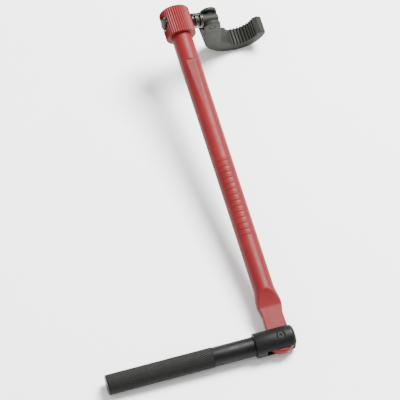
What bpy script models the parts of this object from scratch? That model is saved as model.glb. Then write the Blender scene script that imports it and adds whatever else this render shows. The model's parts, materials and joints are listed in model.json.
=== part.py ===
"""A basin wrench: a long shaft with a swivelling, sprung hook jaw at its head and a folding cross handle.

The wrench is modelled in a tool frame, held by one empty: the handle's pivot is its origin, +Y runs up
the shaft to the head, the handle points to -X and +Z is the pivot pin's axis. A second empty sits on
the head, with +X along the jaw's stem and +Y along the pin that the hook hinges on. The tool frame is
tipped so that the wrench lies on a bench, on its hook, its fork and the end of its grip.
"""

import math

import bmesh
import bpy
from mathutils import Vector

MM = 0.001
ROUND = 36  # facets round a turned piece

# gaps
GAP = 0.3 * MM  # between pieces that touch or turn on each other
SPRING_CLEARANCE = 0.7 * MM  # between the jaw's neck and its spring

# shaft
SHAFT_DIAMETER = 14.0 * MM
SHAFT_REACH = 241.5 * MM  # from the handle's pivot to the axis of the jaw's stem
TONGUE_THICKNESS = 6.0 * MM
EYE_RADIUS = 9.9 * MM
WAIST_WIDTH = 14.4 * MM
WAIST_AT = 17.0 * MM
BULGE_WIDTH = 17.1 * MM
BULGE_AT = 25.7 * MM
RAMP_FOOT = 23.2 * MM  # where the tongue's flat begins to climb
RAMP_TOP = 34.5 * MM  # where it runs out on the round bar
ROUND_AT = 38.0 * MM  # from here up the bar is round
FLAT_WIDTH = 6.0 * MM  # long wedge-shaped flat on the front of the bar
FLAT_LENGTH = 37.0 * MM
FLAT_BELOW_STEM = 31.5 * MM

# head
HEAD_WALL = 3.5 * MM
HEAD_HEIGHT = 20.3 * MM
HEAD_CAP = 2.2 * MM
HEAD_TWIST = math.radians(15.0)
STEM_ABOVE_MIDDLE = 0.9 * MM  # the stem crosses the drum a little above its middle
HEAD_TOP_ROUND = 2.0 * MM
HEAD_BOTTOM_ROUND = 0.6 * MM
RIBS = 42
RIB_DEPTH = 0.45 * MM
COUNTERBORE_RADIUS = 5.5 * MM
COUNTERBORE_WALL = 1.0 * MM  # left between the counterbore's seat and the shaft

# stem and washers
STEM_DIAMETER = 6.0 * MM
NECK_DIAMETER = 7.4 * MM  # from the thrust washer's shoulder to the end between the hook's ears
NECK_LENGTH = 7.1 * MM  # from the thrust washer to the ears
STEM_PAST_HINGE = 5.6 * MM
STEM_END_ROUND = 1.8 * MM
STEM_WASHER_RADIUS = 5.0 * MM
STEM_WASHER_THICKNESS = 0.9 * MM
PEEN_RADIUS = 4.0 * MM
PEEN_HEIGHT = 1.0 * MM
THRUST_WASHER_RADIUS = 5.5 * MM
THRUST_WASHER_THICKNESS = 2.4 * MM

# jaw spring
JAW_WIRE = 1.0 * MM
FIRST_TURNS = 1.15
OPEN_TURNS = 1.0
LAST_TURNS = 1.5

# jaw: places on the hook are measured from its hinge, out from the head and up
HOOK_THICKNESS = 12.5 * MM
HINGE_EYE_RADIUS = 5.9 * MM
JAW_PIN_DIAMETER = 4.8 * MM
SLOT_SLOPE = math.radians(23.0)  # the slot's floor falls away behind the hinge, so that the hook can open
MOUTH_CENTRE = (26.0 * MM, -17.5 * MM)
MOUTH_RADIUS = 13.4 * MM  # to the roots of the teeth
BACK_CENTRE = (24.2 * MM, -13.6 * MM)  # of the back's wide round, below the arm
BACK_RADIUS = 25.2 * MM
BEND_AT = math.radians(-66.0)  # where the tighter round of the toe takes over
BEND_RADIUS = 18.5 * MM
TOE_AT = math.radians(7.0)  # on the tighter round
TOE_INNER = (41.3 * MM, -15.9 * MM)
BACK_CORNER = (-7.6 * MM, -6.2 * MM)
BACK_CORNER_FLAT = 1.6 * MM
SPRING_SEAT_AT = math.radians(215.0)  # where the eye's round ends behind
SHELF = ((24.6 * MM, -30.7 * MM), (22.3 * MM, -29.3 * MM), (20.9 * MM, -26.9 * MM), (17.0 * MM, -25.5 * MM))
POCKET_END = math.radians(-152.0)
TEETH = 9
TOOTH_PITCH = math.radians(10.5)
FIRST_TOOTH = math.radians(-88.0)
TOOTH_DEPTH = 1.3 * MM
ARM_CHAMFER = 3.0 * MM  # depth across the arm's back corners at the hinge
ARM_CHAMFER_REACH = 3.6 * MM  # how far it comes across the face there
ARM_CHAMFER_END = 23.0 * MM  # where it runs out, along the back

# handle
FORK_DIAMETER = 16.6 * MM
FORK_NOSE = 9.7 * MM  # from the pivot to the fork's free end
FORK_NOSE_ROUND = 3.0 * MM
FORK_SHOULDER = 17.6 * MM  # from the pivot to the shoulder on the rod
SLOT_FLOOR_CLEARANCE = 1.0 * MM  # from the tongue's eye to the floor of the fork's slot
ROD_DIAMETER = 13.0 * MM
GRIP_DIAMETER = 13.5 * MM
GRIP_START = 45.6 * MM
GRIP_END = 118.0 * MM
END_CHAMFER = 0.8 * MM
PIVOT_PIN_DIAMETER = 4.8 * MM
PIVOT_SINK_RADIUS = 3.2 * MM
PIVOT_SINK_DEPTH = 0.7 * MM
DIMPLE_RADIUS = 1.1 * MM
DIMPLE_DEPTH = 0.5 * MM
BALL_RADIUS = 2.2 * MM
DETENT_LENGTH = 12.0 * MM
DETENT_WIRE = 0.5 * MM
DETENT_TURNS = 7

# worked out from the sizes above
SHAFT_RADIUS = SHAFT_DIAMETER / 2
HEAD_RADIUS = SHAFT_RADIUS + HEAD_WALL
HEAD_BOTTOM = SHAFT_REACH - STEM_ABOVE_MIDDLE - HEAD_HEIGHT / 2
HEAD_TOP = HEAD_BOTTOM + HEAD_HEIGHT
STEM_RADIUS = STEM_DIAMETER / 2
NECK_RADIUS = NECK_DIAMETER / 2
COUNTERBORE_SEAT = SHAFT_RADIUS + COUNTERBORE_WALL
SPOT_FACE = math.sqrt(HEAD_RADIUS**2 - (THRUST_WASHER_RADIUS + GAP) ** 2)
THRUST_FACE = SPOT_FACE + GAP + THRUST_WASHER_THICKNESS
HINGE_REACH = THRUST_FACE + NECK_LENGTH + HINGE_EYE_RADIUS
PEEN_SEAT = COUNTERBORE_SEAT + GAP + STEM_WASHER_THICKNESS + GAP
EAR_FACE = NECK_RADIUS + GAP
SLOT_FLOOR_BELOW = NECK_DIAMETER / 2 + GAP  # the hook closes until this floor meets the stem
JAW_PIN_RADIUS = JAW_PIN_DIAMETER / 2
FORK_RADIUS = FORK_DIAMETER / 2
GRIP_RADIUS = GRIP_DIAMETER / 2
ROD_RADIUS = ROD_DIAMETER / 2
PIVOT_PIN_RADIUS = PIVOT_PIN_DIAMETER / 2
SLOT_FLOOR = EYE_RADIUS + SLOT_FLOOR_CLEARANCE
BALL_CENTRE = EYE_RADIUS + GAP + BALL_RADIUS


# ---------------------------------------------------------------- making objects

def clear_scene():
    for thing in list(bpy.data.objects):
        bpy.data.objects.remove(thing, do_unlink=True)


def finish_material(name, colour, roughness, metallic):
    """A plain Principled finish; the colour is linear RGB."""
    material = bpy.data.materials.new(name)
    material.use_nodes = True
    shader = material.node_tree.nodes["Principled BSDF"]
    shader.inputs["Base Color"].default_value = (*colour, 1.0)
    shader.inputs["Roughness"].default_value = roughness
    shader.inputs["Metallic"].default_value = metallic
    material.diffuse_color = (*colour, 1.0)
    return material


def add_empty(name, parent, location=(0, 0, 0), rotation=(0, 0, 0)):
    empty = bpy.data.objects.new(name, None)
    bpy.context.scene.collection.objects.link(empty)
    empty.parent = parent
    empty.location = location
    empty.rotation_euler = rotation
    return empty


def add_object(name, bm, parent, location=(0, 0, 0), material=None):
    """Turn a closed bmesh into an object, with its faces out and its round sides smooth."""
    bmesh.ops.remove_doubles(bm, verts=bm.verts, dist=0.00001)
    bmesh.ops.recalc_face_normals(bm, faces=bm.faces)
    mesh = bpy.data.meshes.new(name)
    bm.to_mesh(mesh)
    bm.free()
    mesh.shade_smooth()
    mesh.set_sharp_from_angle(angle=math.radians(30))
    thing = bpy.data.objects.new(name, mesh)
    bpy.context.scene.collection.objects.link(thing)
    thing.parent = parent
    thing.location = location
    if material:
        mesh.materials.append(material)
    return thing


def as_cutter(thing):
    thing.hide_render = True
    thing.display_type = "WIRE"
    return thing


def combine(thing, other, operation):
    step = thing.modifiers.new(other.name, "BOOLEAN")
    step.operation = operation
    step.solver = "EXACT"
    step.object = other


def cut(thing, *cutters):
    for cutter in cutters:
        combine(thing, as_cutter(cutter), "DIFFERENCE")


# ---------------------------------------------------------------- shapes

def prism(outline, low, high):
    """An outline in X and Z, drawn out along Y from low to high."""
    bm = bmesh.new()
    corners = [bm.verts.new((x, low, z)) for x, z in outline]
    face = bm.faces.new(corners)
    drawn = bmesh.ops.extrude_face_region(bm, geom=[face])["geom"]
    moved = [v for v in drawn if isinstance(v, bmesh.types.BMVert)]
    bmesh.ops.translate(bm, verts=moved, vec=(0, high - low, 0))
    return bm


def block(low, high):
    bm = bmesh.new()
    bmesh.ops.create_cube(bm, size=1.0)
    size = Vector(high) - Vector(low)
    middle = (Vector(high) + Vector(low)) / 2
    bmesh.ops.scale(bm, vec=size, verts=bm.verts)
    bmesh.ops.translate(bm, vec=middle, verts=bm.verts)
    return bm


def turned(profile, steps=ROUND):
    """A profile of (x, radius) points spun round the X axis."""
    bm = bmesh.new()
    points = [bm.verts.new((x, 0, radius)) for x, radius in profile]
    edges = [bm.edges.new(pair) for pair in zip(points, points[1:])]
    if profile[0][1] > 0:
        edges.append(bm.edges.new((points[-1], points[0])))
    bmesh.ops.spin(bm, geom=points + edges, cent=(0, 0, 0), axis=(1, 0, 0), dvec=(0, 0, 0),
                   angle=math.tau, steps=steps, use_merge=True)
    return bm


def pointing(bm, axis):
    """Turn a shape made along +X so that it runs along another axis."""
    turn = Vector((1, 0, 0)).rotation_difference(Vector(axis)).to_matrix()
    bmesh.ops.rotate(bm, cent=(0, 0, 0), matrix=turn, verts=bm.verts)
    return bm


def rod(radius, low, high, steps=ROUND):
    return turned([(low, 0), (low, radius), (high, radius), (high, 0)], steps)


def ring(bore, radius, low, high):
    return turned([(low, bore), (low, radius), (high, radius), (high, bore)])


def arc(centre, radius, start, end, steps):
    """Points along an arc, both ends among them."""
    angles = [start + (end - start) * step / steps for step in range(steps + 1)]
    return [(centre[0] + radius * math.cos(a), centre[1] + radius * math.sin(a)) for a in angles]


def loft(sections):
    """A closed body through rings of points, one ring bridged to the next."""
    bm = bmesh.new()
    rings = []
    for section in sections:
        corners = [bm.verts.new(point) for point in section]
        rings.append([bm.edges.new(pair) for pair in zip(corners, corners[1:] + corners[:1])])
    for one, other in zip(rings, rings[1:]):
        bmesh.ops.bridge_loops(bm, edges=one + other)
    for end in (rings[0], rings[-1]):
        bmesh.ops.edgeloop_fill(bm, edges=end)
    return bm


def wire(name, points, radius, parent, material, sides=1):
    """A round wire along the points: a curve with a bevel and closed ends."""
    curve = bpy.data.curves.new(name, "CURVE")
    curve.dimensions = "3D"
    curve.bevel_depth = radius
    curve.bevel_resolution = sides
    curve.use_fill_caps = True
    line = curve.splines.new("POLY")
    line.points.add(len(points) - 1)
    for spot, point in zip(line.points, points):
        spot.co = (*point, 1.0)
    curve.materials.append(material)
    thing = bpy.data.objects.new(name, curve)
    bpy.context.scene.collection.objects.link(thing)
    thing.parent = parent
    return thing


# ---------------------------------------------------------------- shaft

def ease(low, high, share):
    share = min(1.0, max(0.0, share))
    return low + (high - low) * share * share * (3 - 2 * share)


def bar_half_width(y):
    """Half the bar's width from the front: round eye, waist, bulge, then the round bar."""
    neck = EYE_RADIUS * 0.66
    if y < neck:
        return math.sqrt(EYE_RADIUS**2 - y * y)
    places = [
        (neck, math.sqrt(EYE_RADIUS**2 - neck * neck)),
        (WAIST_AT, WAIST_WIDTH / 2),
        (BULGE_AT, BULGE_WIDTH / 2),
        (ROUND_AT, SHAFT_RADIUS),
    ]
    for (below, narrow), (above, wide) in zip(places, places[1:]):
        if y < above:
            return ease(narrow, wide, (y - below) / (above - below))
    return SHAFT_RADIUS


def bar_half_height(y):
    """How far the ramp and the tongue's flats let the bar reach towards its front and back."""
    share = (y - RAMP_FOOT) / (RAMP_TOP - RAMP_FOOT)
    flat = TONGUE_THICKNESS / 2
    return flat + (SHAFT_RADIUS - flat) * min(1.0, max(0.0, share))


def front_flat(y):
    """Height of the wedge-shaped flat on the front: deepest at its upper end."""
    upper = SHAFT_REACH - FLAT_BELOW_STEM
    lower = upper - FLAT_LENGTH
    if y < lower or y > upper:
        return SHAFT_RADIUS
    depth = SHAFT_RADIUS - math.sqrt(SHAFT_RADIUS**2 - (FLAT_WIDTH / 2) ** 2)
    return SHAFT_RADIUS - depth * (y - lower) / (upper - lower)


def bar_section(y, count=32):
    """One ring round the bar: an ellipse with its front and back cut flat."""
    width = bar_half_width(y)
    crown = SHAFT_RADIUS * (width / EYE_RADIUS if y < 0 else 1.0)
    back = bar_half_height(y)
    front = min(back, front_flat(y))
    ring_points = []
    for step in range(count):
        angle = math.tau * step / count
        height = max(-back, min(front, crown * math.sin(angle)))
        ring_points.append((width * math.cos(angle), y, height))
    return ring_points


def make_shaft(tool, head, red):
    upper = SHAFT_REACH - FLAT_BELOW_STEM
    step = 0.3 * MM
    places = [-EYE_RADIUS * math.cos(math.radians(turn)) for turn in range(8, 125, 12)]
    places += [8 * MM, 12 * MM, WAIST_AT, (WAIST_AT + RAMP_FOOT) / 2, RAMP_FOOT, BULGE_AT]
    places += [(BULGE_AT + ROUND_AT) / 2 - 2 * MM, RAMP_TOP, ROUND_AT]
    places += [upper - FLAT_LENGTH, upper, upper + step, HEAD_TOP - HEAD_CAP - GAP]
    shaft = add_object("shaft", loft([bar_section(y) for y in sorted(places)]), tool, material=red)
    pin = rod(PIVOT_PIN_RADIUS + GAP, -TONGUE_THICKNESS, TONGUE_THICKNESS, 24)
    stem = rod(STEM_RADIUS + GAP, -SHAFT_DIAMETER, SHAFT_DIAMETER, 24)
    cut(shaft,
        add_object("shaft_pivot_bore", pointing(pin, (0, 0, 1)), tool),
        add_object("shaft_stem_bore", stem, head))


# ---------------------------------------------------------------- head

def make_head(tool, head, red):
    """The fluted drum: a capped sleeve over the end of the bar, bored across for the stem."""
    def section(y, inset):
        ring_points = []
        for step in range(2 * RIBS):
            rib = HEAD_RADIUS - (RIB_DEPTH if step % 2 else 0)
            radius = min(rib, HEAD_RADIUS - inset)
            angle = math.tau * step / (2 * RIBS)
            ring_points.append((radius * math.sin(angle), y, radius * math.cos(angle)))
        return ring_points

    low_round = HEAD_BOTTOM_ROUND
    top_round = HEAD_TOP_ROUND
    drum = loft([
        section(HEAD_BOTTOM, low_round),
        section(HEAD_BOTTOM + low_round * 0.3, low_round * 0.3),
        section(HEAD_BOTTOM + low_round, 0),
        section(HEAD_TOP - top_round, 0),
        section(HEAD_TOP - top_round * 0.6, top_round * 0.1),
        section(HEAD_TOP - top_round * 0.15, top_round * 0.5),
        section(HEAD_TOP, top_round),
    ])
    ribbed_head = add_object("ribbed_head", drum, tool, material=red)
    socket = rod(SHAFT_RADIUS + GAP, HEAD_BOTTOM - HEAD_HEIGHT, HEAD_TOP - HEAD_CAP)
    far = 2 * HEAD_RADIUS
    cut(ribbed_head,
        add_object("head_socket", pointing(socket, (0, 1, 0)), tool),
        add_object("head_stem_bore", rod(STEM_RADIUS + GAP, -far, far, 24), head),
        add_object("head_counterbore", rod(COUNTERBORE_RADIUS, -far, -COUNTERBORE_SEAT), head),
        add_object("head_spot_face", rod(THRUST_WASHER_RADIUS + GAP, SPOT_FACE, far), head))


def make_washers(head, dark):
    seat = -COUNTERBORE_SEAT - GAP
    add_object("stem_washer", ring(STEM_RADIUS + GAP, STEM_WASHER_RADIUS, seat - STEM_WASHER_THICKNESS, seat),
               head, material=dark)
    add_object("thrust_washer", ring(STEM_RADIUS + GAP, THRUST_WASHER_RADIUS, SPOT_FACE + GAP, THRUST_FACE),
               head, material=dark)


# ---------------------------------------------------------------- jaw

def make_heel_jaw(head, grey):
    """The jaw's stem: peened behind the head, shouldered, and cross-drilled between the hook's ears."""
    end = HINGE_REACH + STEM_PAST_HINGE
    nose = arc((end - STEM_END_ROUND, NECK_RADIUS - STEM_END_ROUND), STEM_END_ROUND, math.pi / 2, 0, 4)
    stem = turned([(-PEEN_SEAT - PEEN_HEIGHT, 0),
                   (-PEEN_SEAT - PEEN_HEIGHT * 0.9, PEEN_RADIUS * 0.5),
                   (-PEEN_SEAT - PEEN_HEIGHT * 0.4, PEEN_RADIUS * 0.9),
                   (-PEEN_SEAT, PEEN_RADIUS),
                   (-PEEN_SEAT, STEM_RADIUS),
                   (THRUST_FACE + GAP, STEM_RADIUS),
                   (THRUST_FACE + GAP, NECK_RADIUS)] + nose + [(end, 0)], 24)
    heel_jaw = add_object("heel_jaw", stem, head, material=grey)
    bore = rod(JAW_PIN_RADIUS + GAP, -NECK_DIAMETER, NECK_DIAMETER, 24)
    cut(heel_jaw, add_object("stem_pin_bore", pointing(bore, (0, 1, 0)), head, (HINGE_REACH, 0, 0)))


def tangent_angle(centre, radius):
    """Angle at the eye where the line that crosses between the eye and a circle touches the eye."""
    distance = math.hypot(*centre)
    return math.atan2(centre[1], centre[0]) + math.acos((HINGE_EYE_RADIUS + radius) / distance)


def hook_outline():
    """The hook seen along its hinge: eye, back corner, back, toe, teeth, shelf, arm."""
    inner = tangent_angle(MOUTH_CENTRE, MOUTH_RADIUS)
    outline = arc((0, 0), HINGE_EYE_RADIUS, inner, SPRING_SEAT_AT, 11)

    bearing, tangent = back_line()
    corner = Vector(BACK_CORNER)
    upward = (Vector(outline[-1]) - corner).normalized()
    downward = Vector((math.cos(bearing), math.sin(bearing)))
    outline.append(tuple(corner + upward * BACK_CORNER_FLAT / 2))
    outline.append(tuple(corner + downward * BACK_CORNER_FLAT / 2))

    offset = BACK_RADIUS - BEND_RADIUS
    bend_centre = (BACK_CENTRE[0] + offset * math.cos(BEND_AT), BACK_CENTRE[1] + offset * math.sin(BEND_AT))
    outline += arc(BACK_CENTRE, BACK_RADIUS, tangent, BEND_AT, 9)
    outline += arc(bend_centre, BEND_RADIUS, BEND_AT, TOE_AT, 9)[1:]
    outline.append(TOE_INNER)

    tip = MOUTH_RADIUS - TOOTH_DEPTH
    for tooth in reversed(range(TEETH)):
        middle = FIRST_TOOTH + TOOTH_PITCH * tooth
        outline += arc(MOUTH_CENTRE, tip, middle + TOOTH_PITCH * 0.12, middle - TOOTH_PITCH * 0.12, 1)
        outline += arc(MOUTH_CENTRE, MOUTH_RADIUS, middle - TOOTH_PITCH * 0.38, middle - TOOTH_PITCH * 0.62, 1)
    outline += SHELF
    outline += arc(MOUTH_CENTRE, MOUTH_RADIUS, POCKET_END, inner - math.pi, 3)
    return outline


def back_line():
    """Bearing of the arm's straight back, and the angle on the back's round where it touches."""
    reach = Vector(BACK_CENTRE) - Vector(BACK_CORNER)
    bearing = math.atan2(reach.y, reach.x) - math.asin(BACK_RADIUS / reach.length)
    return bearing, bearing - math.radians(90)


def make_hook_jaw(head, grey):
    half = HOOK_THICKNESS / 2
    place = (HINGE_REACH, 0, 0)
    hook = add_object("hook_jaw", prism(hook_outline(), -half, half), head, place, grey)
    far = 2 * MOUTH_RADIUS
    slot = [(-far, far), (-far, -SLOT_FLOOR_BELOW - far * math.tan(SLOT_SLOPE)), (0, -SLOT_FLOOR_BELOW),
            (far, -SLOT_FLOOR_BELOW), (far, far)]
    pin = rod(JAW_PIN_RADIUS + GAP, -HOOK_THICKNESS, HOOK_THICKNESS, 24)
    cut(hook,
        add_object("hook_slot", prism(slot, -EAR_FACE, EAR_FACE), head, place),
        add_object("hook_pin_bore", pointing(pin, (0, 1, 0)), head, place))
    for side in (-1, 1):
        cut(hook, add_object(f"arm_chamfer_{side + 2}", arm_wedge(side), head, place))


def arm_wedge(side):
    """A wedge that bevels the arm's back edge on one face: widest at the hinge, running out below."""
    half = HOOK_THICKNESS / 2
    far = 2 * BACK_RADIUS
    bearing, _ = back_line()
    corner = Vector((BACK_CORNER[0], side * (half - ARM_CHAMFER), BACK_CORNER[1]))
    across = Vector((BACK_CORNER[0] + ARM_CHAMFER_REACH, side * half, BACK_CORNER[1]))
    run_out = Vector((BACK_CORNER[0] + ARM_CHAMFER_END * math.cos(bearing), side * half,
                      BACK_CORNER[1] + ARM_CHAMFER_END * math.sin(bearing)))
    normal = (across - corner).cross(run_out - corner).normalized()
    if normal.y * side < 0:
        normal.negate()
    bm = block((-far, -far, 0), (far, far, far))
    turn = Vector((0, 0, 1)).rotation_difference(normal).to_matrix()
    bmesh.ops.rotate(bm, cent=(0, 0, 0), matrix=turn, verts=bm.verts)
    bmesh.ops.translate(bm, vec=corner, verts=bm.verts)
    return bm


def make_jaw_pin(head, grey):
    half = HOOK_THICKNESS / 2
    edge = 0.3 * MM
    pin = turned([(-half, 0), (-half, JAW_PIN_RADIUS - edge), (edge - half, JAW_PIN_RADIUS),
                  (half - edge, JAW_PIN_RADIUS), (half, JAW_PIN_RADIUS - edge), (half, 0)], 24)
    add_object("jaw_pivot_pin", pointing(pin, (0, 1, 0)), head, (HINGE_REACH, 0, 0), grey)


def make_jaw_spring(head, steel):
    """A compression spring round the stem: it pushes the backs of the ears out, so the hook closes."""
    wire_radius = JAW_WIRE / 2
    coil_radius = NECK_RADIUS + SPRING_CLEARANCE + wire_radius
    start = THRUST_FACE + GAP + wire_radius
    end = HINGE_REACH - HINGE_EYE_RADIUS - GAP - wire_radius
    closed_pitch = JAW_WIRE * 1.05
    open_pitch = (end - start - closed_pitch * (FIRST_TURNS + LAST_TURNS)) / OPEN_TURNS

    def along(turns):
        first = min(turns, FIRST_TURNS)
        middle = min(max(turns - FIRST_TURNS, 0), OPEN_TURNS)
        last = max(turns - FIRST_TURNS - OPEN_TURNS, 0)
        return start + closed_pitch * (first + last) + open_pitch * middle

    total = FIRST_TURNS + OPEN_TURNS + LAST_TURNS
    steps = round(total * 16)
    points = []
    for step in range(steps + 1):
        turns = total * step / steps
        angle = math.tau * (turns - total) - math.pi / 2
        points.append((along(turns), coil_radius * math.cos(angle), coil_radius * math.sin(angle)))
    wire("jaw_spring", points, wire_radius, head, steel)


# ---------------------------------------------------------------- handle

def make_handle(tool, black):
    """One turned bar: slotted fork, plain rod and grip, with a blind bore for the detent."""
    def down(places):
        return [(-x, radius) for x, radius in places]

    nose = arc((FORK_NOSE - FORK_NOSE_ROUND, FORK_RADIUS - FORK_NOSE_ROUND), FORK_NOSE_ROUND, 0,
               math.pi / 2, 5)
    edge = 0.6 * MM
    step = 0.25 * MM
    profile = [(FORK_NOSE, 0)] + nose + down([
        (FORK_SHOULDER - edge, FORK_RADIUS),
        (FORK_SHOULDER, FORK_RADIUS - edge),
        (FORK_SHOULDER, ROD_RADIUS),
        (GRIP_START, ROD_RADIUS),
        (GRIP_START + step, GRIP_RADIUS),
        (GRIP_END - END_CHAMFER, GRIP_RADIUS),
        (GRIP_END, GRIP_RADIUS - END_CHAMFER),
        (GRIP_END, 0),
    ])
    handle = add_object("handle", turned(profile), tool, material=black)
    slot = TONGUE_THICKNESS / 2 + GAP
    far = FORK_DIAMETER
    bore_end = BALL_CENTRE + DETENT_LENGTH + BALL_RADIUS
    cut(handle,
        add_object("fork_slot", block((-SLOT_FLOOR, -far, -slot), (far, far, slot)), tool),
        add_object("detent_bore", rod(BALL_RADIUS + GAP, -bore_end, -EYE_RADIUS, 20), tool),
        add_object("fork_pivot_bore", pointing(rod(PIVOT_PIN_RADIUS + GAP, -far, far, 24), (0, 0, 1)), tool))
    for side in (-1, 1):
        sink = rod(PIVOT_SINK_RADIUS, FORK_RADIUS - PIVOT_SINK_DEPTH, FORK_DIAMETER, 24)
        cut(handle, add_object(f"fork_sink_{side + 2}", pointing(sink, (0, 0, side)), tool))


def make_pivot_pin(tool, black):
    """A plain pin, flush with the fork and with a dimple in each end."""
    half = FORK_RADIUS - 0.15 * MM
    edge = 0.3 * MM
    half_profile = [(half - DIMPLE_DEPTH, 0), (half, DIMPLE_RADIUS), (half, PIVOT_PIN_RADIUS - edge),
                    (half - edge, PIVOT_PIN_RADIUS)]
    profile = half_profile + [(-x, radius) for x, radius in half_profile[::-1]]
    add_object("handle_pivot_pin", pointing(turned(profile, 24), (0, 0, 1)), tool, material=black)


def make_detent(tool, steel):
    ball = bmesh.new()
    bmesh.ops.create_uvsphere(ball, u_segments=12, v_segments=8, radius=BALL_RADIUS)
    add_object("detent_ball", ball, tool, (-BALL_CENTRE, 0, 0), steel)

    wire_radius = DETENT_WIRE / 2
    coil_radius = BALL_RADIUS - wire_radius
    start = BALL_CENTRE + BALL_RADIUS + GAP + wire_radius
    length = DETENT_LENGTH - 2 * (GAP + wire_radius)
    steps = 10
    points = []
    for step in range(DETENT_TURNS * steps + 1):
        turns = step / steps
        angle = math.tau * turns
        points.append((-start - length * turns / DETENT_TURNS,
                       coil_radius * math.cos(angle), coil_radius * math.sin(angle)))
    wire("detent_spring", points, wire_radius, tool, steel)


# ---------------------------------------------------------------- bench

def bench_tip():
    """Pitch and roll of the wrench as it lies on its hook's back, the fork's shoulder and the grip's end."""
    roll = math.atan((FORK_RADIUS - GRIP_RADIUS) / (GRIP_END - FORK_SHOULDER))
    out = HINGE_REACH + BACK_CENTRE[0]
    up = BACK_CENTRE[1]
    x = out * math.cos(HEAD_TWIST) + up * math.sin(HEAD_TWIST)
    z = up * math.cos(HEAD_TWIST) - out * math.sin(HEAD_TWIST) - BACK_RADIUS
    y = SHAFT_REACH - HOOK_THICKNESS / 2
    rise = math.tan(roll) * (-FORK_SHOULDER - x) - FORK_RADIUS
    pitch = math.asin(rise / math.hypot(y, z)) - math.atan2(z, y)
    return pitch, roll


def stand_on_bench(tool):
    """Move the whole wrench so that the middle of its footprint is the origin, with its lowest point at 0."""
    bpy.context.view_layer.update()
    graph = bpy.context.evaluated_depsgraph_get()
    corners = []
    for thing in bpy.context.scene.objects:
        if thing.type == "EMPTY" or thing.hide_render:
            continue
        solid = thing.evaluated_get(graph)
        mesh = solid.to_mesh()
        corners += [solid.matrix_world @ vert.co for vert in mesh.vertices]
        solid.to_mesh_clear()
    low = Vector(min(c[axis] for c in corners) for axis in range(3))
    high = Vector(max(c[axis] for c in corners) for axis in range(3))
    tool.location = -Vector(((low.x + high.x) / 2, (low.y + high.y) / 2, low.z))


def main():
    clear_scene()
    red = finish_material("red enamel", (0.47, 0.05, 0.04), 0.35, 0.0)
    grey = finish_material("grey phosphated steel", (0.16, 0.16, 0.155), 0.45, 0.9)
    black = finish_material("black oxide steel", (0.03, 0.03, 0.03), 0.4, 0.8)
    dark = finish_material("dark washer steel", (0.02, 0.02, 0.018), 0.5, 0.8)
    steel = finish_material("bright spring steel", (0.35, 0.34, 0.32), 0.3, 1.0)

    pitch, roll = bench_tip()
    tool = add_empty("tool_frame", None, rotation=(pitch, -roll, 0))
    head = add_empty("head_frame", tool, (0, SHAFT_REACH, 0), (0, HEAD_TWIST, 0))

    make_shaft(tool, head, red)
    make_head(tool, head, red)
    make_washers(head, dark)
    make_heel_jaw(head, grey)
    make_hook_jaw(head, grey)
    make_jaw_pin(head, grey)
    make_jaw_spring(head, steel)
    make_handle(tool, black)
    make_pivot_pin(tool, black)
    make_detent(tool, steel)
    stand_on_bench(tool)


main()
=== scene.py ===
import json
import math

import bmesh
import bpy
from mathutils import Matrix, Vector


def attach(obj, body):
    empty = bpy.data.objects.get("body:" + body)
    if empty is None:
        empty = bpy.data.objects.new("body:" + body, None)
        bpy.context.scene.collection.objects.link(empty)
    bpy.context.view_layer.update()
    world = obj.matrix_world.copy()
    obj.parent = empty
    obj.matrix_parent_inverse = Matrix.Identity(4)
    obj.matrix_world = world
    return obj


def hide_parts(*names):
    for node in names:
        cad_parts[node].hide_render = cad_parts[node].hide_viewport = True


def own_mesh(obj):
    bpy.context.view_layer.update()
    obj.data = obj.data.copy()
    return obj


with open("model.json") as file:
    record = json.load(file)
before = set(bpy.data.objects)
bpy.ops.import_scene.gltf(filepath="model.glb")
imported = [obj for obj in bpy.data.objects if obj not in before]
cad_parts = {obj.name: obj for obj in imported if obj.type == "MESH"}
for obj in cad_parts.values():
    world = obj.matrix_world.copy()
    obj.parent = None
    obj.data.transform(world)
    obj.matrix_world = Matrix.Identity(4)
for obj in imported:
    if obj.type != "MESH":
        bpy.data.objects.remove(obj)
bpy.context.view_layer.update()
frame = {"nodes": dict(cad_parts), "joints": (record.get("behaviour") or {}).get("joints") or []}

MM = 0.001


# ---------------------------------------------------------------- the wrench's own frames

def axes_at(place, along, across):
    """A frame at a place, with +X along one axis, +Y along another and +Z square to both."""
    x, y = Vector(along).normalized(), Vector(across).normalized()
    turn = Matrix((x, y, x.cross(y))).transposed().to_4x4()
    return Matrix.Translation(Vector(place)) @ turn


joints = {joint["name"]: joint for joint in frame["joints"]}
up_shaft = Vector(joints["hook_pivot"]["axis"])
pin_axis = Vector(joints["handle_fold"]["axis"])
stem_axis = Vector(joints["jaw_swivel"]["axis"])
TOOL = axes_at(joints["handle_fold"]["pos_m"], up_shaft.cross(pin_axis), up_shaft)
HEAD = axes_at(joints["jaw_swivel"]["pos_m"], stem_axis, up_shaft)
HINGE = axes_at(joints["hook_pivot"]["pos_m"], stem_axis, up_shaft)
SHAFT_REACH = (TOOL.inverted() @ HEAD.translation).y
HINGE_REACH = (HEAD.inverted() @ HINGE.translation).x


# ---------------------------------------------------------------- camera, light and floor

def lamp(name, offset, size, power):
    """A soft square light, placed in the camera's own right, up and back directions."""
    light = bpy.data.lights.new(name, "AREA")
    light.shape = "SQUARE"
    light.size = size
    light.energy = power
    thing = bpy.data.objects.new(name, light)
    bpy.context.scene.collection.objects.link(thing)
    thing.location = aim + view @ Vector(offset)
    thing.rotation_euler = (thing.location - aim).to_track_quat("Z", "Y").to_euler()


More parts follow.
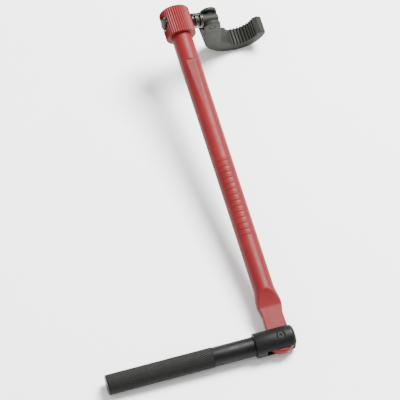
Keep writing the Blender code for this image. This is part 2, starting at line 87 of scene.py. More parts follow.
right = Vector((0.95890, -0.28239, 0.02752))
up = Vector((0.24659, 0.87744, 0.41146))
view = TOOL.to_3x3() @ Matrix((right, up, right.cross(up))).transposed()
aim = TOOL @ (Vector((-10, 120, 0)) * MM - right * 9.015 * MM - up * 11.535 * MM)
lens = bpy.data.cameras.new("camera")
lens.lens = 317
camera = bpy.data.objects.new("camera", lens)
bpy.context.scene.collection.objects.link(camera)
camera.matrix_world = Matrix.Translation(aim + view @ Vector((0, 0, 2.35))) @ view.to_4x4()
bpy.context.scene.camera = camera

lamp("key", (0.55, 1.25, 0.8), 0.7, 115)
lamp("fill", (-0.6, 0.3, 1.5), 1.6, 8)

world = bpy.data.worlds.new("studio")
bpy.context.scene.world = world
world.use_nodes = True
backdrop = world.node_tree.nodes["Background"]
backdrop.inputs["Color"].default_value = (1, 1, 1, 1)
backdrop.inputs["Strength"].default_value = 0.85


# ---------------------------------------------------------------- materials

def colour(code):
    """An sRGB hex colour as linear light."""
    parts = [int(code[i:i + 2], 16) / 255 for i in (0, 2, 4)]
    return [p / 12.92 if p <= 0.04045 else ((p + 0.055) / 1.055) ** 2.4 for p in parts] + [1.0]


def node(tree, kind, settings=None, **links):
    """Add a node: settings are its own properties, links are socket values or other nodes' sockets."""
    made = tree.nodes.new(kind)
    for key, value in (settings or {}).items():
        setattr(made, key, value)
    for key, value in links.items():
        socket = made.inputs[int(key[1:])] if key[0] == "i" and key[1:].isdigit() else made.inputs[
            key.replace("_", " ")]
        if isinstance(value, bpy.types.NodeSocket):
            tree.links.new(value, socket)
        else:
            socket.default_value = value
    return made


def start_material(name, **values):
    """A Principled material and its object-space position, turned into the wrench's own frame."""
    material = bpy.data.materials.new(name)
    material.use_nodes = True
    tree = material.node_tree
    surface = tree.nodes["Principled BSDF"]
    for key, value in values.items():
        surface.inputs[key.replace("_", " ")].default_value = value
    turn = TOOL.to_3x3().inverted()
    where = node(tree, "ShaderNodeTexCoord")
    place = node(tree, "ShaderNodeMapping", Vector=where.outputs["Object"],
                 Rotation=turn.to_euler(), Location=-(turn @ TOOL.translation))
    return material, tree, surface, place.outputs["Vector"]


def ramp(tree, factor, *stops):
    made = node(tree, "ShaderNodeValToRGB", Fac=factor)
    elements = made.color_ramp.elements
    while len(elements) < len(stops):
        elements.new(0.5)
    for element, (position, shade) in zip(elements, stops):
        element.position = position
        element.color = shade
    return made.outputs["Color"]


def grey(level):
    return (level, level, level, 1)


def noise(tree, spot, size, detail=3.0, roughness=0.55):
    """Noise whose blotches are about size across, in metres."""
    made = node(tree, "ShaderNodeTexNoise", Vector=spot, Scale=1 / size, Detail=detail, Roughness=roughness)
    return made.outputs["Fac"]


def bump(tree, height, distance, strength):
    made = node(tree, "ShaderNodeBump", Height=height, Distance=distance, Strength=strength)
    return made.outputs["Normal"]


def red_enamel():
    """Stove-enamelled red paint on steel: a soft gloss, faint orange peel and slightly thin places."""
    material, tree, surface, spot = start_material("red_enamel", Metallic=0.0, Coat_Weight=0.02,
                                                   Coat_Roughness=0.4, Specular_IOR_Level=0.15)
    patches = noise(tree, spot, 14 * MM)
    paint = ramp(tree, patches, (0.3, colour("5A1013")), (0.7, colour("641517")))
    tree.links.new(paint, surface.inputs["Base Color"])
    gloss = ramp(tree, noise(tree, spot, 5 * MM), (0.3, grey(0.45)), (0.7, grey(0.55)))
    tree.links.new(gloss, surface.inputs["Roughness"])
    peel = noise(tree, spot, 1.6 * MM, 2.0)  # real orange peel is about this coarse on a dipped tool
    tree.links.new(bump(tree, peel, 0.05 * MM, 0.5), surface.inputs["Normal"])
    return material


def grey_phosphate():
    """Phosphated forged steel: a dull, finely pitted grey that is rubbed a little lighter in places."""
    material, tree, surface, spot = start_material("grey_phosphated_steel", Metallic=0.25,
                                                   Specular_IOR_Level=0.12)
    grain = noise(tree, spot, 0.7 * MM, 4.0, 0.65)  # crystals are finer; drawn as coarse as shows
    patches = noise(tree, spot, 6 * MM)
    mixed = node(tree, "ShaderNodeMath", {"operation": "ADD"}, i0=grain, i1=patches)
    half = node(tree, "ShaderNodeMath", {"operation": "MULTIPLY"}, i0=mixed.outputs[0], i1=0.5)
    shade = ramp(tree, half.outputs[0], (0.32, colour("20211E")), (0.68, colour("2C2C28")))
    tree.links.new(shade, surface.inputs["Base Color"])
    gloss = ramp(tree, patches, (0.3, grey(0.5)), (0.7, grey(0.62)))
    tree.links.new(gloss, surface.inputs["Roughness"])
    tree.links.new(bump(tree, grain, 0.06 * MM, 0.6), surface.inputs["Normal"])
    return material


def black_oxide(name, dark, light, low, high):
    """Blued and oiled steel: near black, with a soft sheen and faint cloudy patches."""
    material, tree, surface, spot = start_material(name, Metallic=0.5, Specular_IOR_Level=0.25)
    clouds = noise(tree, spot, 5 * MM, 4.0)
    shade = ramp(tree, clouds, (0.3, colour(dark)), (0.7, colour(light)))
    tree.links.new(shade, surface.inputs["Base Color"])
    gloss = ramp(tree, clouds, (0.3, grey(low)), (0.7, grey(high)))
    tree.links.new(gloss, surface.inputs["Roughness"])
    fine = noise(tree, spot, 0.5 * MM, 3.0)
    tree.links.new(bump(tree, fine, 0.03 * MM, 0.4), surface.inputs["Normal"])
    return material


def knurled_oxide():
    """Blued steel on the grip: the knurl's ridges carry a painted highlight, lighter than its near-black pits.
    """
    material, tree, surface, spot = start_material("black_oxide_painted_ridge_highlight", Metallic=0.5,
                                                   Specular_IOR_Level=0.25)
    clouds = noise(tree, spot, 5 * MM, 4.0)
    shade = ramp(tree, clouds, (0.3, colour("060706")), (0.7, colour("0C0D0C")))
    ridge = node(tree, "ShaderNodeAttribute", {"attribute_name": "ridge"}).outputs["Fac"]
    ridge_highlight = ramp(tree, ridge, (0.5, grey(0.0)), (1.0, grey(1.0)))
    # painted highlight: the ridge attribute mixes the knurl's ridges towards 252623, and the pits keep the plain
    # near-black
    mixed = node(tree, "ShaderNodeMix", {"data_type": "RGBA"}, Factor=ridge_highlight, i6=shade, i7=colour("252623"))
    tree.links.new(mixed.outputs[2], surface.inputs["Base Color"])
    gloss = ramp(tree, clouds, (0.3, grey(0.42)), (0.7, grey(0.55)))
    tree.links.new(gloss, surface.inputs["Roughness"])
    return material


def drawn_wire():
    """Bright drawn spring wire: polished steel with a faint brown-grey temper."""
    material, tree, surface, spot = start_material("drawn_spring_wire", Metallic=1.0)
    clouds = noise(tree, spot, 1.5 * MM, 3.0)
    shade = ramp(tree, clouds, (0.3, colour("413C37")), (0.7, colour("635D57")))
    tree.links.new(shade, surface.inputs["Base Color"])
    gloss = ramp(tree, clouds, (0.3, grey(0.24)), (0.7, grey(0.38)))
    tree.links.new(gloss, surface.inputs["Roughness"])
    return material


def paper_floor():
    """A matt pale card sweep."""
    material, tree, surface, spot = start_material("pale_card", Roughness=0.9)
    tint = ramp(tree, noise(tree, spot, 0.2), (0.3, colour("F6F6F5")), (0.7, colour("FAFAF9")))
    tree.links.new(tint, surface.inputs["Base Color"])
    return material


RED = red_enamel()
GREY = grey_phosphate()
BLACK = black_oxide("black_oxide_steel", "0C0D0C", "131413", 0.45, 0.58)
WASHER = black_oxide("blued_washer_steel", "0C0D0C", "161716", 0.2, 0.3)
WIRE = drawn_wire()
KNURL = knurled_oxide()

floor_shape = bmesh.new()
bmesh.ops.create_grid(floor_shape, x_segments=2, y_segments=2, size=2.0)
floor_mesh = bpy.data.meshes.new("floor")
floor_shape.to_mesh(floor_mesh)
floor = bpy.data.objects.new("floor", floor_mesh)
bpy.context.scene.collection.objects.link(floor)
floor_mesh.materials.append(paper_floor())


# ---------------------------------------------------------------- making shapes

def arc(centre, radius, start, end, steps):
    return [(centre[0] + radius * math.cos(start + (end - start) * step / steps),
             centre[1] + radius * math.sin(start + (end - start) * step / steps)) for step in range(steps + 1)]


def turned(profile, steps=96):
    """A profile of (along, radius) points spun round X; a profile that ends where it starts makes a ring."""
    bm = bmesh.new()
    verts = [bm.verts.new((x, 0, radius)) for x, radius in profile]
    for one, other in zip(verts, verts[1:]):
        bm.edges.new((one, other))
    bmesh.ops.spin(bm, geom=bm.verts[:] + bm.edges[:], cent=(0, 0, 0), axis=(1, 0, 0),
                   angle=math.tau, steps=steps, use_merge=True)
    bmesh.ops.remove_doubles(bm, verts=bm.verts, dist=1e-7)
    bmesh.ops.recalc_face_normals(bm, faces=bm.faces)
    return bm


def washer(bore, radius, low, high, edge, steps=64):
    """A ring round X with rounded outer edges."""
    return turned([(low, bore), (low, radius - edge)]
                  + arc((low + edge, radius - edge), edge, math.pi, math.pi / 2, 3)[1:]
                  + arc((high - edge, radius - edge), edge, math.pi / 2, 0, 3)
                  + [(high, bore), (low, bore)], steps)


def bar(radius, low, high, steps=48):
    return turned([(low, 0), (low, radius), (high, radius), (high, 0)], steps)


def facing(bm, axis):
    """Turn a shape made along X to lie along another axis."""
    turn = Vector((1, 0, 0)).rotation_difference(Vector(axis)).to_matrix()
    bmesh.ops.rotate(bm, cent=(0, 0, 0), matrix=turn, verts=bm.verts)
    return bm


def plate(outline, low, high):
    """An outline drawn across X and Z, extruded along Y."""
    bm = bmesh.new()
    face = bm.faces.new([bm.verts.new((x, low, z)) for x, z in outline])
    moved = bmesh.ops.extrude_face_region(bm, geom=[face])["geom"]
    bmesh.ops.translate(bm, vec=(0, high - low, 0),
                        verts=[v for v in moved if isinstance(v, bmesh.types.BMVert)])
    bmesh.ops.recalc_face_normals(bm, faces=bm.faces)
    return bm


def block(low, high):
    bm = bmesh.new()
    bmesh.ops.create_cube(bm, size=1)
    size = Vector(high) - Vector(low)
    bmesh.ops.scale(bm, vec=size, verts=bm.verts)
    bmesh.ops.translate(bm, vec=(Vector(low) + Vector(high)) / 2, verts=bm.verts)
    return bm


def solid(bm, name="solid"):
    mesh = bpy.data.meshes.new(name)
    bm.to_mesh(mesh)
    bm.free()
    thing = bpy.data.objects.new(name, mesh)
    bpy.context.scene.collection.objects.link(thing)
    return thing


def joined(bm, operation, *others):
    """The shape with the others cut from it or fused to it."""
    things = [solid(bm)]
    for other in others:
        things.append(solid(other, "other"))
        change = things[0].modifiers.new("change", "BOOLEAN")
        change.object = things[-1]
        change.operation = operation
        change.solver = "EXACT"
    bpy.context.view_layer.update()
    graph = bpy.context.evaluated_depsgraph_get()
    result = bmesh.new()
    result.from_mesh(things[0].evaluated_get(graph).to_mesh())
    for thing in things:
        bpy.data.objects.remove(thing)
    return result


def soften(bm, wanted, width, segments=3):
    """Round the edges that wanted(one end, other end) picks."""
    edges = [edge for edge in bm.edges if wanted(*[vert.co for vert in edge.verts])
             and edge.is_manifold and edge.calc_face_angle(0) > 0.3]
    bmesh.ops.bevel(bm, geom=edges, offset=width, offset_type="OFFSET", segments=segments, profile=0.5,
                    affect="EDGES", clamp_overlap=False, material=-1)
    return bm


def place_piece(name, bm, place, body, slot, material, *nodes, crease=35):
    """Put a finished shape in the row's frame as a piece that rides on a body and stands for CAD nodes."""
    bmesh.ops.transform(bm, matrix=place, verts=bm.verts)
    piece = solid(bm, name)
    piece.data.polygons.foreach_set("use_smooth", [True] * len(piece.data.polygons))
    piece.data.set_sharp_from_angle(angle=math.radians(crease))
    piece.data.materials.append(material)
    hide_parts(*nodes)
    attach(piece, body)
    return piece


def ease(share):
    share = min(1.0, max(0.0, share))
    return share * share * (3 - 2 * share)


def lesser(one, other, blend):
    """The smaller of two heights, with a rounded corner where they cross."""
    share = max(0.0, blend - abs(one - other)) / blend
    return min(one, other) - share * share * blend / 4


# ---------------------------------------------------------------- shaft

SHAFT_RADIUS = 7.0 * MM
TONGUE_HALF = 3.0 * MM
EYE_RADIUS = 9.9 * MM
NECK = EYE_RADIUS * 0.66
RAMP_FOOT = 23.2 * MM
RAMP_TOP = 34.5 * MM
FLAT_WIDTH = 6.0 * MM
FLAT_TOP = SHAFT_REACH - 31.5 * MM
FLAT_FOOT = FLAT_TOP - 37.0 * MM
HEAD_RADIUS = 10.5 * MM
HEAD_BOTTOM = SHAFT_REACH - 11.05 * MM
HEAD_TOP = HEAD_BOTTOM + 20.27 * MM
SHAFT_TOP = HEAD_TOP - 2.5 * MM
BAR_ROW = (74 * MM, 134 * MM)  # plain raised bars stand in this stretch of the shaft
BAR_PITCH = 4.3 * MM
BAR_HALF = (0.8 * MM, 3.0 * MM)
BAR_HEIGHT = 0.35 * MM


def half_width(y):
    if y < NECK:
        return math.sqrt(max(0.0, EYE_RADIUS**2 - y * y))
    places = [(NECK, math.sqrt(EYE_RADIUS**2 - NECK**2)), (17.0 * MM, 7.2 * MM), (25.7 * MM, 8.55 * MM),
              (38.0 * MM, SHAFT_RADIUS)]
    for (below, narrow), (above, wide) in zip(places, places[1:]):
        if y < above:
            return narrow + (wide - narrow) * ease((y - below) / (above - below))
    return SHAFT_RADIUS


def raised_bar(y, across):
    """Height of the row of small plain bars on the front of the shaft."""
    if not BAR_ROW[0] < y < BAR_ROW[1]:
        return 0.0
    off = abs((y - BAR_ROW[0]) % BAR_PITCH - BAR_PITCH / 2)
    edge = 0.45 * MM
    return BAR_HEIGHT * ease((BAR_HALF[0] - off) / edge + 0.5) * ease((BAR_HALF[1] - abs(across)) / edge + 0.5)


def shaft_section(y, angle):
    width = half_width(y)
    crown = SHAFT_RADIUS * (width / EYE_RADIUS if y < 0 else 1.0)
    share = min(1.0, max(0.0, (y - RAMP_FOOT) / (RAMP_TOP - RAMP_FOOT)))
    back = SHAFT_RADIUS - (SHAFT_RADIUS - TONGUE_HALF) * (1 - share)**0.7
    front = back
    if FLAT_FOOT < y < FLAT_TOP:
        depth = SHAFT_RADIUS - math.sqrt(SHAFT_RADIUS**2 - (FLAT_WIDTH / 2) ** 2)
        front = SHAFT_RADIUS - depth * (y - FLAT_FOOT) / (FLAT_TOP - FLAT_FOOT)
    height = crown * math.sin(angle)
    blend = 0.35 * MM if share < 1 else 0.12 * MM
    if share < 1 or front < SHAFT_RADIUS:
        height = lesser(height, front, blend) if height > 0 else -lesser(-height, back, blend)
    lift = raised_bar(y, SHAFT_RADIUS * (angle - math.radians(96))) if height > 0 else 0.0
    return Vector((width * math.cos(angle), y, height)) + Vector((math.cos(angle), 0, math.sin(angle))) * lift


def shaft_stations():
    """Places along the shaft: close together where its shape changes."""
    places = [-EYE_RADIUS * math.cos(math.radians(turn)) for turn in range(4, 90, 6)]
    y = 0.6 * MM
    while y < SHAFT_TOP:
        places.append(y)
        if y < 40 * MM:
            y += 0.8 * MM
        elif BAR_ROW[0] - 1 * MM < y < BAR_ROW[1] + 1 * MM:
            y += 0.35 * MM
        else:
            y += 3.0 * MM
    return sorted(places + [FLAT_FOOT, FLAT_TOP - 0.05 * MM, FLAT_TOP + 0.05 * MM, SHAFT_TOP])


def make_shaft():
    sides = 160
    bm = bmesh.new()
    first = bmesh.ops.create_circle(bm, segments=sides, radius=1, cap_ends=False)["verts"]
    ring = sorted(first, key=lambda vert: math.atan2(vert.co.y, vert.co.x) % math.tau)
    edges = bm.edges[:]
    for number, y in enumerate(shaft_stations()):
        if number:
            made = bmesh.ops.extrude_edge_only(bm, edges=edges)["geom"]
            edges = [e for e in made if isinstance(e, bmesh.types.BMEdge) and all(v in made for v in e.verts)]
            linked = {e.other_vert(v): v for v in made if isinstance(v, bmesh.types.BMVert)
                      for e in v.link_edges if e.other_vert(v) in ring_set}
            ring = [linked[v] for v in ring]
        ring_set = set(ring)
        for step, vert in enumerate(ring):
            vert.co = shaft_section(y, math.tau * (step + 0.5) / sides)
    bmesh.ops.holes_fill(bm, edges=[e for e in bm.edges if e.is_boundary], sides=0)
    bmesh.ops.recalc_face_normals(bm, faces=bm.faces)
    return bm


place_piece("shaft_bar", make_shaft(), TOOL, "shaft", "red_enamel", RED, "shaft", crease=50)


# ---------------------------------------------------------------- head

RIBS = 42
RIB_DEPTH = 0.5 * MM


def make_head():
    """The fluted drum over the end of the bar, bored across for the stem."""
    low, high, steps = HEAD_BOTTOM, HEAD_TOP, RIBS * 8
    bm = turned([(low, 0), (low, SHAFT_RADIUS + 0.05 * MM), (low, HEAD_RADIUS - 0.7 * MM)]
                + arc((low + 0.7 * MM, HEAD_RADIUS - 0.7 * MM), 0.7 * MM, math.pi, math.pi / 2, 4)[1:]
                + [(low + (high - low) * share, HEAD_RADIUS) for share in (0.2, 0.4, 0.6, 0.8)]
                + arc((high - 2 * MM, HEAD_RADIUS - 2 * MM), 2 * MM, math.pi / 2, 0, 8) + [(high, 0)], steps)
    for vert in bm.verts:
        radius = math.hypot(vert.co.y, vert.co.z)
        if radius > HEAD_RADIUS - 1.2 * MM:
            angle = math.atan2(vert.co.z, vert.co.y)
            wave = 0.5 - 0.5 * math.cos(RIBS * angle)
            groove = RIB_DEPTH * wave ** 0.7
            top = HEAD_RADIUS - groove
            if radius > top:
                vert.co.y *= top / radius
                vert.co.z *= top / radius
    facing(bm, (0, 1, 0))
    return bm


stem_turn = TOOL.inverted() @ HEAD


def across_head(bm):
    """Put a shape made along the stem into the shaft's frame."""
    bmesh.ops.transform(bm, matrix=stem_turn, verts=bm.verts)
    return bm


SPOT_FACE = math.sqrt(HEAD_RADIUS**2 - (5.8 * MM) ** 2)
THRUST_FACE = SPOT_FACE + 2.7 * MM
drum = joined(make_head(), "DIFFERENCE",
              across_head(bar(5.5 * MM, -14 * MM, -8 * MM)),
              across_head(bar(5.8 * MM, SPOT_FACE, 14 * MM)),
              across_head(bar(3.3 * MM, -14 * MM, 14 * MM)),
              facing(bar(SHAFT_RADIUS + 0.05 * MM, HEAD_BOTTOM - 5 * MM, SHAFT_TOP + 0.2 * MM, 64), (0, 1, 0)))
place_piece("fluted_drum", drum, TOOL, "shaft", "red_enamel", RED, "ribbed_head", crease=50)

place_piece("peen_washer", washer(3.3 * MM, 5.0 * MM, -9.2 * MM, -8.3 * MM, 0.2 * MM), HEAD, "heel",
            "dark_washer", WASHER, "stem_washer")
thrust_ring = washer(3.3 * MM, 5.5 * MM, SPOT_FACE + 0.3 * MM, THRUST_FACE, 0.5 * MM)
place_piece("thrust_ring", thrust_ring, HEAD, "shaft", "dark_washer", WASHER, "thrust_washer")


# ---------------------------------------------------------------- jaw: stem

HINGE_EYE = 5.9 * MM
STEM_RADIUS = 3.7 * MM
EAR_FACE = 4.0 * MM
HOOK_HALF = 6.25 * MM
PIN_BORE = 2.7 * MM
PEEN_AT = -9.5 * MM  # where the peened head meets the stem, behind the washer
PEEN_HEIGHT = 1.0 * MM
SHANK_RADIUS = 3.0 * MM  # inside the head
STEM_PAST_HINGE = 5.6 * MM
STEM_END_ROUND = 1.8 * MM
SLOT_BELOW = 4 * MM  # from the hinge down to the floor of the hook's slot
SLOT_SLOPE = math.radians(23)  # the floor falls away behind the hinge, so that the hook can open
FAR = 40 * MM  # well past the hook


def make_stem():
    """The jaw's stem: peened behind the head, shouldered, and cross-drilled between the hook's ears."""
    end = HINGE_REACH + STEM_PAST_HINGE
    shoulder = THRUST_FACE + 0.3 * MM
    stem = turned([(-10.5 * MM, 0)]
                  + arc((PEEN_AT, 2.9 * MM), PEEN_HEIGHT, math.pi, math.pi / 2, 5)
                  + [(PEEN_AT, SHANK_RADIUS), (shoulder, SHANK_RADIUS), (shoulder, 3.4 * MM),
                     (THRUST_FACE + 0.6 * MM, STEM_RADIUS), (HINGE_REACH - 4 * MM, STEM_RADIUS),
                     (HINGE_REACH, STEM_RADIUS)]
                  + arc((end - STEM_END_ROUND, STEM_RADIUS - STEM_END_ROUND), STEM_END_ROUND,
                        math.pi / 2, 0, 8)
                  + [(end, 0)], 96)
    bore = facing(bar(PIN_BORE, -9 * MM, 9 * MM), (0, 1, 0))
    bmesh.ops.translate(bore, vec=(HINGE_REACH, 0, 0), verts=bore.verts)
    return joined(stem, "DIFFERENCE", bore)


place_piece("jaw_stem", make_stem(), HEAD, "heel", "grey_steel", GREY, "heel_jaw")


# ---------------------------------------------------------------- jaw: hook

MOUTH = (26.0 * MM, -17.5 * MM)
MOUTH_RADIUS = 13.4 * MM
BACK = (24.2 * MM, -13.6 * MM)
BACK_RADIUS = 25.2 * MM
BEND_AT = math.radians(-66)
BEND_RADIUS = 18.5 * MM
BEND = (BACK[0] + (BACK_RADIUS - BEND_RADIUS) * math.cos(BEND_AT),
        BACK[1] + (BACK_RADIUS - BEND_RADIUS) * math.sin(BEND_AT))
BACK_CORNER = Vector((-7.6 * MM, -6.2 * MM))
TEETH = 9
TOOTH_PITCH = math.radians(10.5)
FIRST_TOOTH = math.radians(-88)
TOOTH_DEPTH = 1.3 * MM


def hook_outline():
    """The hook from the side: eye, back corner, back, toe, teeth, shelf, pocket and arm."""
    inner = math.atan2(MOUTH[1], MOUTH[0]) + math.acos((HINGE_EYE + MOUTH_RADIUS) / math.hypot(*MOUTH))
    outline = arc((0, 0), HINGE_EYE, inner, math.radians(215), 40)
    reach = Vector(BACK) - BACK_CORNER
    bearing = math.atan2(reach.y, reach.x) - math.asin(BACK_RADIUS / reach.length)
    up_edge = (Vector(outline[-1]) - BACK_CORNER).normalized()
    down_edge = Vector((math.cos(bearing), math.sin(bearing)))
    for share in range(5):
        blend = share / 4
        one = BACK_CORNER + up_edge * 0.8 * MM * (1 - blend)
        outline.append(tuple(one + down_edge * 0.8 * MM * blend))
    outline += arc(BACK, BACK_RADIUS, bearing - math.pi / 2, BEND_AT, 32)
    outline += arc(BEND, BEND_RADIUS, BEND_AT, math.radians(5.5), 30)[1:]
    outline += [(45.1 * MM, -17.3 * MM), (42.2 * MM, -16.0 * MM), (41.3 * MM, -15.95 * MM)]
    for tooth in reversed(range(TEETH)):
        middle = FIRST_TOOTH + TOOTH_PITCH * tooth
        tip = MOUTH_RADIUS - TOOTH_DEPTH * (0.75 if tooth == TEETH - 1 else 1.0)
        outline += arc(MOUTH, tip, middle + TOOTH_PITCH * 0.13, middle - TOOTH_PITCH * 0.13, 1)
        outline += arc(MOUTH, MOUTH_RADIUS, middle - TOOTH_PITCH * 0.37, middle - TOOTH_PITCH * 0.63, 1)
    outline += [(24.6 * MM, -30.7 * MM), (22.3 * MM, -29.3 * MM), (21.5 * MM, -27.6 * MM),
                (20.6 * MM, -26.8 * MM), (18.6 * MM, -26.3 * MM), (17.0 * MM, -25.5 * MM)]
    outline += arc(MOUTH, MOUTH_RADIUS, math.radians(-152), inner - math.pi, 8)
    return outline


def arm_wedge(side):
    """Cuts the arm's back edge off one face: wide at the hinge, running out below."""
    reach = Vector(BACK) - BACK_CORNER
    bearing = math.atan2(reach.y, reach.x) - math.asin(BACK_RADIUS / reach.length)
    corner = Vector((BACK_CORNER.x, side * (HOOK_HALF - 3.0 * MM), BACK_CORNER.y))
    across = Vector((BACK_CORNER.x + 3.6 * MM, side * HOOK_HALF, BACK_CORNER.y))
    run_out = Vector((BACK_CORNER.x + 23 * MM * math.cos(bearing), side * HOOK_HALF,
                      BACK_CORNER.y + 23 * MM * math.sin(bearing)))
    normal = (across - corner).cross(run_out - corner).normalized()
    if normal.y * side < 0:
        normal.negate()
    bm = block((-60 * MM, -60 * MM, 0), (60 * MM, 60 * MM, 60 * MM))
    turn = Vector((0, 0, 1)).rotation_difference(normal).to_matrix()
    bmesh.ops.rotate(bm, cent=(0, 0, 0), matrix=turn, verts=bm.verts)
    bmesh.ops.translate(bm, vec=corner, verts=bm.verts)
    return bm


def make_hook():
    hook = joined(plate(hook_outline(), -HOOK_HALF, HOOK_HALF), "DIFFERENCE",
                  plate([(-FAR, FAR), (-FAR, -SLOT_BELOW - FAR * math.tan(SLOT_SLOPE)), (0, -SLOT_BELOW),
                         (FAR, -SLOT_BELOW), (FAR, FAR)], -EAR_FACE, EAR_FACE),
                  arm_wedge(-1), arm_wedge(1))

    def rim(one, other):
        level = abs(one.y)
        same = abs(one.y - other.y) < 1e-6
        ear = abs(level - EAR_FACE) < 1e-5 and min(one.z, other.z) > -9 * MM
        return same and (abs(level - HOOK_HALF) < 1e-5 or ear)

    soften(hook, rim, 0.38 * MM)
    return joined(hook, "DIFFERENCE", facing(bar(PIN_BORE, -9 * MM, 9 * MM), (0, 1, 0)))


place_piece("toothed_hook", make_hook(), HINGE, "hook", "grey_steel", GREY, "hook_jaw", crease=30)

pin_edge = 0.35 * MM
jaw_pin = facing(turned([(-6.15 * MM, 0), (-6.15 * MM, 2.6 * MM - pin_edge), (-6.0 * MM, 2.6 * MM),
                         (6.0 * MM, 2.6 * MM), (6.15 * MM, 2.6 * MM - pin_edge), (6.15 * MM, 0)], 48), (0, 1, 0))
bmesh.ops.translate(jaw_pin, vec=(0, 0, 0.07 * MM), verts=jaw_pin.verts)
place_piece("hinge_rivet", jaw_pin, HINGE, "hook", "grey_steel", GREY, "jaw_pivot_pin")


# ---------------------------------------------------------------- jaw spring

def coil(points, radius):
    """A round wire along the points, with closed ends."""
    curve = bpy.data.curves.new("wire", "CURVE")
    curve.dimensions = "3D"
    curve.bevel_depth = radius
    curve.bevel_resolution = 4
    curve.use_fill_caps = True
    line = curve.splines.new("POLY")
    line.points.add(len(points) - 1)
    for spot, point in zip(line.points, points):
        spot.co = (*point, 1.0)
    thing = bpy.data.objects.new("wire", curve)
    bpy.context.scene.collection.objects.link(thing)
    bpy.context.view_layer.update()
    bm = bmesh.new()
    bm.from_mesh(thing.evaluated_get(bpy.context.evaluated_depsgraph_get()).to_mesh())
    bmesh.ops.remove_doubles(bm, verts=bm.verts, dist=1e-7)
    bpy.data.objects.remove(thing)
    return bm


def spring_points():
    """A few closed turns by the washer, an open one, and closed turns against the hook's ears."""
    wire = 0.5 * MM
    radius = STEM_RADIUS + 0.7 * MM + wire
    start = THRUST_FACE + 0.3 * MM + wire
    end = HINGE_REACH - HINGE_EYE - 0.3 * MM - wire
    turns = (1.15, 1.0, 1.5)
    closed = 2 * wire * 1.05
    opened = end - start - closed * (turns[0] + turns[2])
    points = []
    steps = round(sum(turns) * 40)
    for step in range(steps + 1):
        now = sum(turns) * step / steps
        along = start + closed * (min(now, turns[0]) + max(now - turns[0] - turns[1], 0))
        along += opened * min(max(now - turns[0], 0), 1)
        angle = math.tau * (now - sum(turns)) - math.pi / 2
        points.append((along, radius * math.cos(angle), radius * math.sin(angle)))
    return points


spring = place_piece("coil_spring", coil(spring_points(), 0.5 * MM), HEAD, "heel", "spring_steel", WIRE,
                     "jaw_spring", crease=60)
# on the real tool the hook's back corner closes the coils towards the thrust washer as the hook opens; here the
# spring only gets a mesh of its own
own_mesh(spring)


# ---------------------------------------------------------------- handle

FORK_RADIUS = 8.3 * MM
FORK_NOSE = 9.7 * MM
NOSE_ROUND = 3.0 * MM
FORK_SHOULDER = 17.6 * MM
SLOT_FLOOR = 10.9 * MM
ROD_RADIUS = 6.5 * MM
GRIP_RADIUS = 6.75 * MM
GRIP_START = 45.6 * MM
GRIP_END = 118.0 * MM
KNURL_ROUND = 24  # pits round the grip, 1.8 mm apart
KNURL_FINE = 8  # steps across one pit
KNURL_DEPTH = 0.5 * MM


def make_grip():
    """The rod and its knurled grip: crossed ridges with a pit in each diamond."""
    pitch = math.tau * GRIP_RADIUS / KNURL_ROUND
    rise = pitch / KNURL_FINE
    plain = 1.6 * MM
    rows = round((GRIP_END - GRIP_START - plain) / rise)
    profile = [(-SLOT_FLOOR - 4 * MM, 0), (-SLOT_FLOOR - 4 * MM, ROD_RADIUS), (-GRIP_START, ROD_RADIUS),
               (-GRIP_START - 0.25 * MM, GRIP_RADIUS)]
    profile += [(-GRIP_START - 0.4 * MM - rise * row, GRIP_RADIUS) for row in range(rows)]
    edge = 0.8 * MM
    profile += [(-GRIP_END + edge + 0.2 * MM, GRIP_RADIUS), (-GRIP_END + edge, GRIP_RADIUS),
                (-GRIP_END + edge * 0.3, GRIP_RADIUS - edge * 0.3), (-GRIP_END, GRIP_RADIUS - edge),
                (-GRIP_END, 0)]
    bm = turned(profile, KNURL_ROUND * KNURL_FINE)
    # ridge marks the knurl's ridges; the grip's material paints a highlight along it
    ridge = bm.verts.layers.float.new("ridge")
    for vert in bm.verts:
        x = -vert.co.x
        if GRIP_START + 0.5 * MM < x < GRIP_END - edge - 0.3 * MM:
            turn = math.atan2(vert.co.z, vert.co.y) / math.tau * KNURL_ROUND
            along = x / pitch
            one = abs((turn + along) % 1 - 0.5) * 2
            other = abs((turn - along) % 1 - 0.5) * 2
            pit = ease((min(one, other) - 0.12) / 0.6)
            vert[ridge] = 1 - pit
            scale = 1 - KNURL_DEPTH * pit / GRIP_RADIUS
            vert.co.y *= scale
            vert.co.z *= scale
    return bm


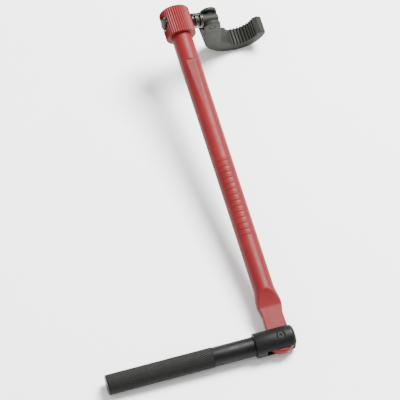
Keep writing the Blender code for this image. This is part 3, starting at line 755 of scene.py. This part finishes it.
def make_fork():
    """The turned head of the handle, slotted for the tongue and bored for the pin and the detent."""
    edge = 0.6 * MM
    nose = arc((FORK_NOSE - NOSE_ROUND, FORK_RADIUS - NOSE_ROUND), NOSE_ROUND, 0, math.pi / 2, 12)
    bm = turned([(FORK_NOSE, 0)] + nose + [
        (-FORK_SHOULDER + edge, FORK_RADIUS), (-FORK_SHOULDER + edge * 0.3, FORK_RADIUS - edge * 0.3),
        (-FORK_SHOULDER, FORK_RADIUS - edge), (-FORK_SHOULDER, 0)], 96)
    slot = TONGUE_HALF + 0.3 * MM
    cutters = [block((-SLOT_FLOOR, -20 * MM, -slot), (20 * MM, 20 * MM, slot)),
               facing(bar(2.6 * MM, -20 * MM, 20 * MM), (0, 0, 1)),
               bar(2.5 * MM, -32 * MM, -10 * MM, 32)]
    for side in (-1, 1):
        sink = turned([(7.6 * MM, 0), (7.6 * MM, 2.9 * MM), (7.9 * MM, 3.2 * MM), (12 * MM, 3.2 * MM),
                       (12 * MM, 0)], 48)
        cutters.append(facing(sink, (0, 0, side)))
    bm = joined(bm, "DIFFERENCE", *cutters)

    def mouth(one, other):
        return abs(abs(one.z) - slot) < 1e-5 and abs(abs(other.z) - slot) < 1e-5 and (
            one.x > -SLOT_FLOOR + 1e-5 or other.x > -SLOT_FLOOR + 1e-5) and max(
            math.hypot(one.x, one.y), math.hypot(other.x, other.y)) > 4 * MM

    return soften(bm, mouth, 0.35 * MM, 2)


place_piece("knurled_grip", make_grip(), TOOL, "handle", "black_steel", KNURL, "handle", crease=60)
place_piece("slotted_fork", make_fork(), TOOL, "handle", "black_steel", BLACK, "handle")

pin_half = 8.15 * MM
half_profile = [(pin_half - 0.5 * MM, 0), (pin_half - 0.35 * MM, 0.6 * MM), (pin_half, 1.1 * MM),
                (pin_half, 2.1 * MM), (pin_half - 0.3 * MM, 2.4 * MM)]
fold_pin = turned(half_profile + [(-x, radius) for x, radius in reversed(half_profile)], 48)
place_piece("fold_pin", facing(fold_pin, (0, 0, 1)), TOOL, "handle", "black_steel", BLACK, "handle_pivot_pin")

for name in ("detent_ball", "detent_spring"):
    hidden = frame["nodes"][name]
    hidden.data.materials.clear()
    hidden.data.materials.append(WIRE)

bpy.context.view_layer.update()
